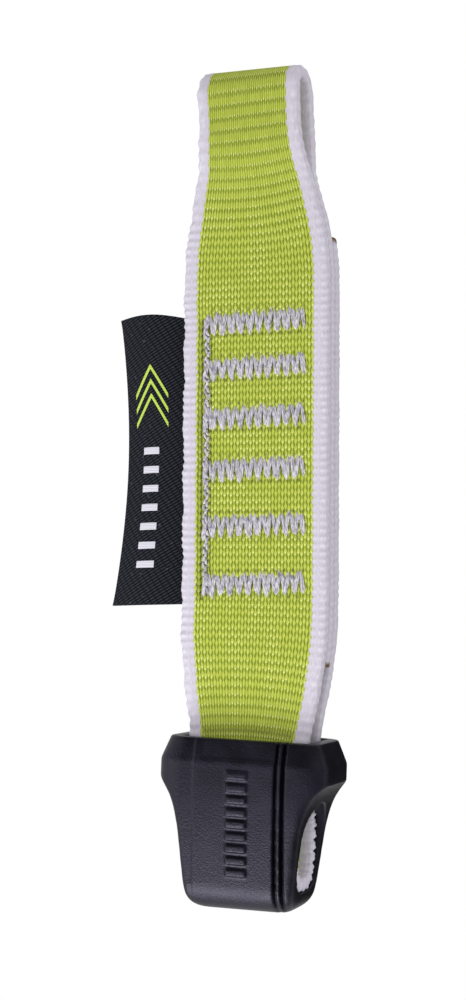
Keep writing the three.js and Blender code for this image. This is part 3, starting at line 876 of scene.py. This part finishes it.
def label_place(out, share):
    """A point on the label: out runs from the seam (0) to the fold (1), share from the top to the foot."""
    out, share = np.asarray(out, float), np.asarray(share, float)
    x = LABEL_ROOT - out * reach(share)
    lift = 0.55 + 0.45 * np.cos(math.pi * share) ** 2
    y = HIDDEN_Y - CURL * np.sin(math.pi * np.clip(out, 0, 1) * 0.9) * lift
    z = LABEL_TOP + (LABEL_BOTTOM - LABEL_TOP) * share
    z = z + 0.55 * np.sin(math.pi * np.clip(out, 0, 1)) * (1 - share) - 0.30 * out * share
    return np.stack([x, y, z], axis=-1)


def laid_sheet(name, columns, rows, lay):
    """A grid whose corners go where lay(u, v) says, with u and v from 0 to 1."""
    sheet, flat = new_grid(name, columns, rows)
    put_corners(sheet, lay(flat[:, 0], flat[:, 1]))
    return sheet


def label_sheet(u, v):
    """The label with its tail: the tail is flat inside the seam, and the flap starts at the root."""
    tail = (LABEL_INNER - LABEL_ROOT) / REACH_TOP
    out = -tail + u * (1 + tail)
    places = label_place(np.maximum(out, 0), v)
    places[:, 0] -= np.minimum(out, 0) * REACH_TOP
    return places


label = laid_sheet("folded_label", 44, 120, label_sheet)
keep_modifier(label, "SOLIDIFY", thickness=LABEL_THICK * MM, offset=0)
keep_modifier(label, "BEVEL", width=0.14 * MM, segments=3, limit_method="ANGLE", angle_limit=math.radians(50))
finish_shape(label, 40)
print("label:", triangles(label), "triangles,", round(LABEL_TOP - LABEL_BOTTOM, 1), "mm tall")

# %% [markdown]
# The woven pattern is plain: two lime peaks above a ladder of pale bars. On such a tape a pattern is made
# by floating coloured weft over the black ground, so it stands a little proud. Each stroke is a narrow
# sheet laid on the same curve and thickened.

# %% Label pattern
PROUD = 0.07  # how far a floated stroke stands above the ground
PEAKS = [[(0.82, 0.30 + drop), (0.53, 0.20 + drop), (0.24, 0.30 + drop)] for drop in (-0.02, 0.03, 0.08)]
STROKE_HALF = 0.0085
BAR_ROWS = np.linspace(0.47, 0.86, 7)
BAR_OUT = (0.40, 0.68)
BAR_HALF = 0.012


def raised(places):
    return places - (0, LABEL_THICK / 2 + PROUD / 2, 0)


def peak_stroke(points):
    """A stroke of even width that follows the peaks."""
    knots = np.array(points)

    def lay(u, v):
        at = u * (len(knots) - 1)
        out = np.interp(at, range(len(knots)), knots[:, 0])
        share = np.interp(at, range(len(knots)), knots[:, 1])
        return raised(label_place(out, share + (v - 0.5) * 2 * STROKE_HALF))
    return lay


def bar(share):
    def lay(u, v):
        out = BAR_OUT[0] + u * (BAR_OUT[1] - BAR_OUT[0])
        return raised(label_place(out, share + (v - 0.5) * 2 * BAR_HALF))
    return lay


def pattern(name, strokes, columns):
    pieces = [laid_sheet("stroke", columns, 4, lay) for lay in strokes]
    piece = join(pieces, name)
    keep_modifier(piece, "SOLIDIFY", thickness=PROUD * MM * 1.6, offset=0)
    keep_modifier(piece, "BEVEL", width=0.03 * MM, segments=2, limit_method="ANGLE",
                  angle_limit=math.radians(50))
    finish_shape(piece, 40)
    return piece


lime_peaks = pattern("label_peaks", [peak_stroke(points) for points in PEAKS], 48)
pale_bars = pattern("label_bars", [bar(share) for share in BAR_ROWS], 16)
print("pattern:", triangles(lime_peaks) + triangles(pale_bars), "triangles")

# %% [markdown]
# The ground is black polyester twill, whose weft floats make fine slanting lines that shine a little. The
# pattern's floats run across the tape, as satin.

# %% Label materials
TWILL_PITCH = 0.42 * MM
TWILL_SLANT = math.radians(32)
TWILL_FLOAT = 2.2 * TWILL_PITCH
FLOAT_PITCH = 0.24 * MM
LINT = 0.5 * MM


def twill_material():
    material, shader = new_material("black_label_twill", Roughness=0.85, Specular_IOR_Level=0.25)
    add = partial(add_node, material.node_tree)
    place = add("TexCoord", output="Object")
    turned = add("Mapping", place, Rotation=(0, TWILL_SLANT, 0))
    across, up = (add("SeparateXYZ", turned, output=axis) for axis in "XZ")
    line = add("Math FRACT", add("Math MULTIPLY", up, 1 / TWILL_PITCH))
    line = add("Math MULTIPLY", add("MapRange SMOOTHSTEP", line, 0.25, 0.50),
               add("MapRange SMOOTHSTEP", line, 0.95, 0.68))
    dash = add("Math FRACT", add("Math MULTIPLY", across, 1 / TWILL_FLOAT))
    dash = add("MapRange SMOOTHSTEP", add("Math ABSOLUTE", add("Math SUBTRACT", dash, 0.5)), 0.46, 0.30)
    floats = add("Math MULTIPLY", line, add("Math MULTIPLY_ADD", dash, 0.7, 0.3))
    lint = add("TexNoise", place, Scale=1 / LINT, Detail=3.0)
    # The slanting lines are the twill's weave; drawing the floats lighter than the black ground is a painted
    # sheen.
    colour = add("Mix RGBA", floats, "#030407", "#30323E")
    colour = add("Mix RGBA", add("MapRange SMOOTHSTEP", lint, 0.66, 0.80), colour, "#5A5B68")
    bump = add("Bump", Height=floats, Strength=0.6, Distance=0.05 * MM)
    fill_named(shader, Base_Color=colour, Normal=bump)
    return material


def satin_material(name, light, dark):
    material, shader = new_material(name, Roughness=0.5, Sheen_Weight=0.1)
    add = partial(add_node, material.node_tree)
    up = add("SeparateXYZ", add("TexCoord", output="Object"), output="Z")
    line = add("Math FRACT", add("Math MULTIPLY", up, 1 / FLOAT_PITCH))
    gap = add("MapRange SMOOTHSTEP", add("Math ABSOLUTE", add("Math SUBTRACT", line, 0.5)), 0.28, 0.5)
    bump = add("Bump", Height=gap, Strength=-0.5, Distance=0.05 * MM)
    # The gaps between the floats are painted darker: painted shade.
    fill_named(shader, Base_Color=add("Mix RGBA", gap, light, dark), Normal=bump)
    return material


label.data.materials.append(twill_material())
lime_peaks.data.materials.append(satin_material("lime_satin_float", "#C8E45A", "#86A02A"))
pale_bars.data.materials.append(satin_material("pale_satin_float", "#E2E0EA", "#9A97A8"))
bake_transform(label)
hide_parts("label_flap", "label_tail")
for piece in (lime_peaks, pale_bars):
    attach(piece, "label")
print("label:", len(label.data.materials[0].node_tree.nodes), "nodes in the twill")

# %% [markdown]
# ## Protector
#
# The protector is moulded in one piece from black polyurethane. A collar grips both legs of the loop; below
# it a strap with flat panels goes round under the loop and leaves both sides open for the carabiner. It is
# cut as a model maker would cut it from a block: the outlines seen from the front, the side and above are
# three prisms that overlap, and what they share is the outer shape. The slot, the eye, a shallow window in
# each collar panel, two grooves along one edge of each panel and a slight step along the other are then cut
# away. Last, the block is remeshed in fine voxels and smoothed, which rounds every edge a little, as a
# mould does.

# %% Protector dimensions, in millimetres
shell_low, shell_high = (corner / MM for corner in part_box("loop_protector"))
COLLAR_TOP, FOOT_Z = shell_high.z, shell_low.z - 0.25
COLLAR_X = shell_high.x + 0.15
RIB_PROUD = 0.35
COLLAR_Y = shell_high.y - RIB_PROUD
CHAMFER_Z, WAIST_Z = COLLAR_TOP - 3.3, COLLAR_TOP - 5.8
CHAMFER_X, CHAMFER_Y = 1.3, 0.8
PANEL_HALF, END_HALF = 6.8, 4.6
SHOULDER_LEAN = ((9.6, 0.05), (12.3, 0.6))  # how the panel turns into the end: x, and y short of the panel
SHOULDER_X, STRAP_X, FOOT_X = 10.0, 9.2, 8.3
FOOT_Y = 6.4
FOOT_CORNER, FOOT_ROUND = 2.2, 4.3
WALL_Y, BACK_WALL_Y = 4.95, 5.35
SLOT_X, STRAP_SLOT_X = 9.5, 8.2
ARCH_TOP, ARCH_SPRING = COLLAR_TOP - 8.8, COLLAR_TOP - 13.9
EYE_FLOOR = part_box("lower_loop_webbing")[0].z / MM - 0.3
WINDOW_DEEP = 0.3
WINDOW_HALF, WINDOW_SHELF = 5.7, 0.35
RECESSES = [(5.5, 6.0, 0.95), (6.5, 7.1, 1.25), (-20, -6.6, 0.14)]  # grooves and step: from, to, depth
STRAP_ROUNDING, STRAP_VOXEL = 95, 0.2565  # smoothing steps for the corners of the strap, and its voxels
GRIP_HALF, GRIP_TALL, GRIP_STEP, GRIP_COUNT = 1.5, 0.95, 1.72, 9
VOXEL = 0.19


def bezier(start, lean_out, lean_in, end, steps=12):
    t = np.linspace(0, 1, steps + 1)[:, None]
    points = [np.array(point, float) for point in (start, lean_out, lean_in, end)]
    return list(map(tuple, (1 - t) ** 3 * points[0] + 3 * (1 - t) ** 2 * t * points[1]
                    + 3 * (1 - t) * t ** 2 * points[2] + t ** 3 * points[3]))


def mirrored(half_outline):
    """Closes half an outline, which runs from top to bottom on the right, with its mirror image."""
    return half_outline + [(-x, z) for x, z in reversed(half_outline)]


def prism(outline, axis, start, end):
    """A block with this outline, from start to end along an axis (0 for X, 1 for Y, 2 for Z)."""
    let_go()
    clean = [point for i, point in enumerate(outline) if math.dist(point, outline[i - 1]) > 1e-4]
    bpy.ops.mesh.primitive_circle_add(vertices=len(clean), radius=1, fill_type="NGON")
    block = name_new("block")
    across, up = [i for i in (0, 1, 2) if i != axis]
    places = np.full((len(clean), 3), float(start))
    places[:, across], places[:, up] = np.array(clean).T
    put_corners(block, places)
    edit_all(block)
    push = [0, 0, 0]
    push[axis] = (end - start) * MM
    bpy.ops.mesh.extrude_region_move(TRANSFORM_OT_translate={"value": push})
    bpy.ops.mesh.select_all(action="SELECT")
    bpy.ops.mesh.normals_make_consistent(inside=False)
    bpy.ops.object.mode_set(mode="OBJECT")
    return block


def carve(block, other, operation):
    keep_modifier(block, "BOOLEAN", object=other, operation=operation, solver="MANIFOLD")
    bpy.data.objects.remove(other)


def front_outline():
    return mirrored(
        [(COLLAR_X - CHAMFER_X, COLLAR_TOP), (COLLAR_X, CHAMFER_Z), (COLLAR_X, WAIST_Z)]
        + bezier((COLLAR_X, WAIST_Z), (SHOULDER_X + 1, WAIST_Z - 1.5), (SHOULDER_X - 0.4, WAIST_Z - 4),
                 (STRAP_X, ARCH_SPRING))
        + bezier((FOOT_X, FOOT_Z + FOOT_CORNER), (FOOT_X - 0.1, FOOT_Z + 1), (FOOT_X - 1.2, FOOT_Z),
                 (FOOT_X - FOOT_CORNER, FOOT_Z)))


def side_outline(proud=0.0):
    bulged = bezier((COLLAR_Y, WAIST_Z), (COLLAR_Y, WAIST_Z - 5), (FOOT_Y + 0.45, FOOT_Z + FOOT_ROUND + 4),
                    (FOOT_Y, FOOT_Z + FOOT_ROUND))
    foot = arc((FOOT_Y - FOOT_ROUND, FOOT_Z + FOOT_ROUND), FOOT_ROUND, 0, -90)
    return mirrored(
        [(COLLAR_Y - CHAMFER_Y + proud, COLLAR_TOP), (COLLAR_Y + proud, CHAMFER_Z)]
        + [(y + proud, z) for y, z in bulged + foot])


def plan_outline():
    """The section seen from above: flat panels front and back, rounded shoulders and short ends."""
    leans = [(x, COLLAR_Y - short) for x, short in SHOULDER_LEAN]
    corner = bezier((PANEL_HALF, COLLAR_Y), *leans, (COLLAR_X, END_HALF))
    return mirrored(corner + [(x, -y) for x, y in reversed(corner)])


def plan_block():
    """The plan as a block that draws in above the collar's edge."""
    block = prism(plan_outline(), 2, FOOT_Z - 2, COLLAR_TOP)
    edit_all(block)
    bpy.ops.mesh.bisect(plane_co=(0, 0, CHAMFER_Z * MM), plane_no=(0, 0, 1))
    bpy.ops.object.mode_set(mode="OBJECT")
    places = corners(block)
    places[places[:, 2] > COLLAR_TOP - 0.01] *= (1 - CHAMFER_X / COLLAR_X, 1 - CHAMFER_Y / COLLAR_Y, 1)
    put_corners(block, places)
    return block


def slot_outline():
    return mirrored([(SLOT_X, COLLAR_TOP + 2), (SLOT_X, COLLAR_TOP - 2.9), (STRAP_SLOT_X, COLLAR_TOP - 8.9),
                     (STRAP_SLOT_X, ARCH_SPRING)])


def eye_outline():
    """Seen from the side. The back wall is a little thinner than the front one."""
    halves = []
    for wall in (WALL_Y, BACK_WALL_Y):
        floor_round = wall - LOWER_FLAT_HALF
        arch = bezier((wall, ARCH_SPRING), (wall, ARCH_SPRING + 3), (2.4, ARCH_TOP), (0.001, ARCH_TOP))
        halves.append(arch[::-1] + arc((LOWER_FLAT_HALF, EYE_FLOOR + floor_round), floor_round, 0, -90))
    return halves[1] + [(-y, z) for y, z in reversed(halves[0])]


def rectangle(x0, x1, z0, z1):
    return [(x0, z0), (x1, z0), (x1, z1), (x0, z1)]


def window_outline(side):
    """Seen from the side: a shallow step cut into the collar's sloping panel."""
    return [(side * (COLLAR_Y - CHAMFER_Y - WINDOW_DEEP), COLLAR_TOP + 1),
            (side * (COLLAR_Y - WINDOW_DEEP), CHAMFER_Z + WINDOW_SHELF),
            (side * (COLLAR_Y + 2), CHAMFER_Z + WINDOW_SHELF), (side * (COLLAR_Y + 2), COLLAR_TOP + 1)]


def add_grips(block):
    """Plain raised bars down the middle of both panels, for the fingers."""
    for i in range(GRIP_COUNT):
        z = WAIST_Z + 0.8 - i * GRIP_STEP
        grip = prism(side_outline(RIB_PROUD), 0, -GRIP_HALF, GRIP_HALF)
        carve(grip, prism(rectangle(-GRIP_HALF - 1, GRIP_HALF + 1, z - GRIP_TALL / 2, z + GRIP_TALL / 2), 1,
                          -COLLAR_Y - 2, COLLAR_Y + 2), "INTERSECT")
        carve(block, grip, "UNION")


def recess(block, x0, x1, deep):
    """Lowers the front between x0 and x1, and the back between the same places turned half round."""
    for side in (-1, 1):
        band = sorted((-side * x0, -side * x1))
        cut = prism(rectangle(0, side * (COLLAR_Y + 2), FOOT_Z - 2, COLLAR_TOP + 2), 0, *band)
        carve(cut, prism(side_outline(-deep), 0, band[0] - 1, band[1] + 1), "DIFFERENCE")
        carve(block, cut, "DIFFERENCE")


def protector_block():
    reach_out = COLLAR_X + 3
    block = prism(front_outline(), 1, -COLLAR_Y - 2, COLLAR_Y + 2)
    carve(block, prism(side_outline(), 0, -reach_out, reach_out), "INTERSECT")
    carve(block, plan_block(), "INTERSECT")
    keep_modifier(block, "REMESH", mode="VOXEL", voxel_size=STRAP_VOXEL * MM)
    heights = corners(block)[:, 2]
    strap = block.vertex_groups.new(name="strap")
    for i, share in enumerate(smoothstep(heights, WAIST_Z - 0.5, WAIST_Z - 3.5)):
        strap.add([i], share, "REPLACE")
    keep_modifier(block, "SMOOTH", factor=0.5, iterations=STRAP_ROUNDING, vertex_group="strap")
    add_grips(block)
    for band in RECESSES:
        recess(block, *band)
    for side in (-1, 1):
        carve(block, prism(window_outline(side), 0, -WINDOW_HALF, WINDOW_HALF), "DIFFERENCE")
    carve(block, prism(slot_outline(), 1, -WALL_Y, WALL_Y), "DIFFERENCE")
    carve(block, prism(eye_outline(), 0, -reach_out, reach_out), "DIFFERENCE")
    return block


protector = protector_block()
protector.name = protector.data.name = "moulded_protector"
keep_modifier(protector, "REMESH", mode="VOXEL", voxel_size=VOXEL * MM, use_smooth_shade=True)
keep_modifier(protector, "SMOOTH", factor=0.5, iterations=2)
put_corners(protector, bowed(corners(protector)))
finish_shape(protector, 60)
print("protector:", triangles(protector), "triangles")

# %% [markdown]
# Polyurethane is dyed through and takes the skin of its mould: a fine grain, drawn here a little coarser than
# it is, that breaks up the reflections, and smoother patches where hands and rope rub it.

# %% Protector material
GRAIN, RUBBED_PATCH = 0.24 * MM, 4 * MM


def moulded_material():
    material, shader = new_material("moulded_black_polyurethane", Roughness=0.38, Specular_Tint="#E7E2FF")
    add = partial(add_node, material.node_tree)
    place = add("TexCoord", output="Object")
    grain = add("TexNoise", place, Scale=1 / GRAIN, Detail=3.0)
    rub = add("TexNoise", place, Scale=1 / RUBBED_PATCH, Detail=3.0)
    colour = add("Mix RGBA", add("MapRange SMOOTHSTEP", rub, 0.35, 0.75), "#09080F", "#15121E")
    bump = add("Bump", Height=grain, Strength=0.9, Distance=0.07 * MM)
    fill_named(shader, Base_Color=colour, Roughness=add("MapRange", rub, To_Min=0.30, To_Max=0.48), Normal=bump)
    return material


protector.data.materials.clear()
protector.data.materials.append(moulded_material())
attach(protector, "protector")
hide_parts("loop_protector")
print("protector material:", protector.data.materials[0].name)
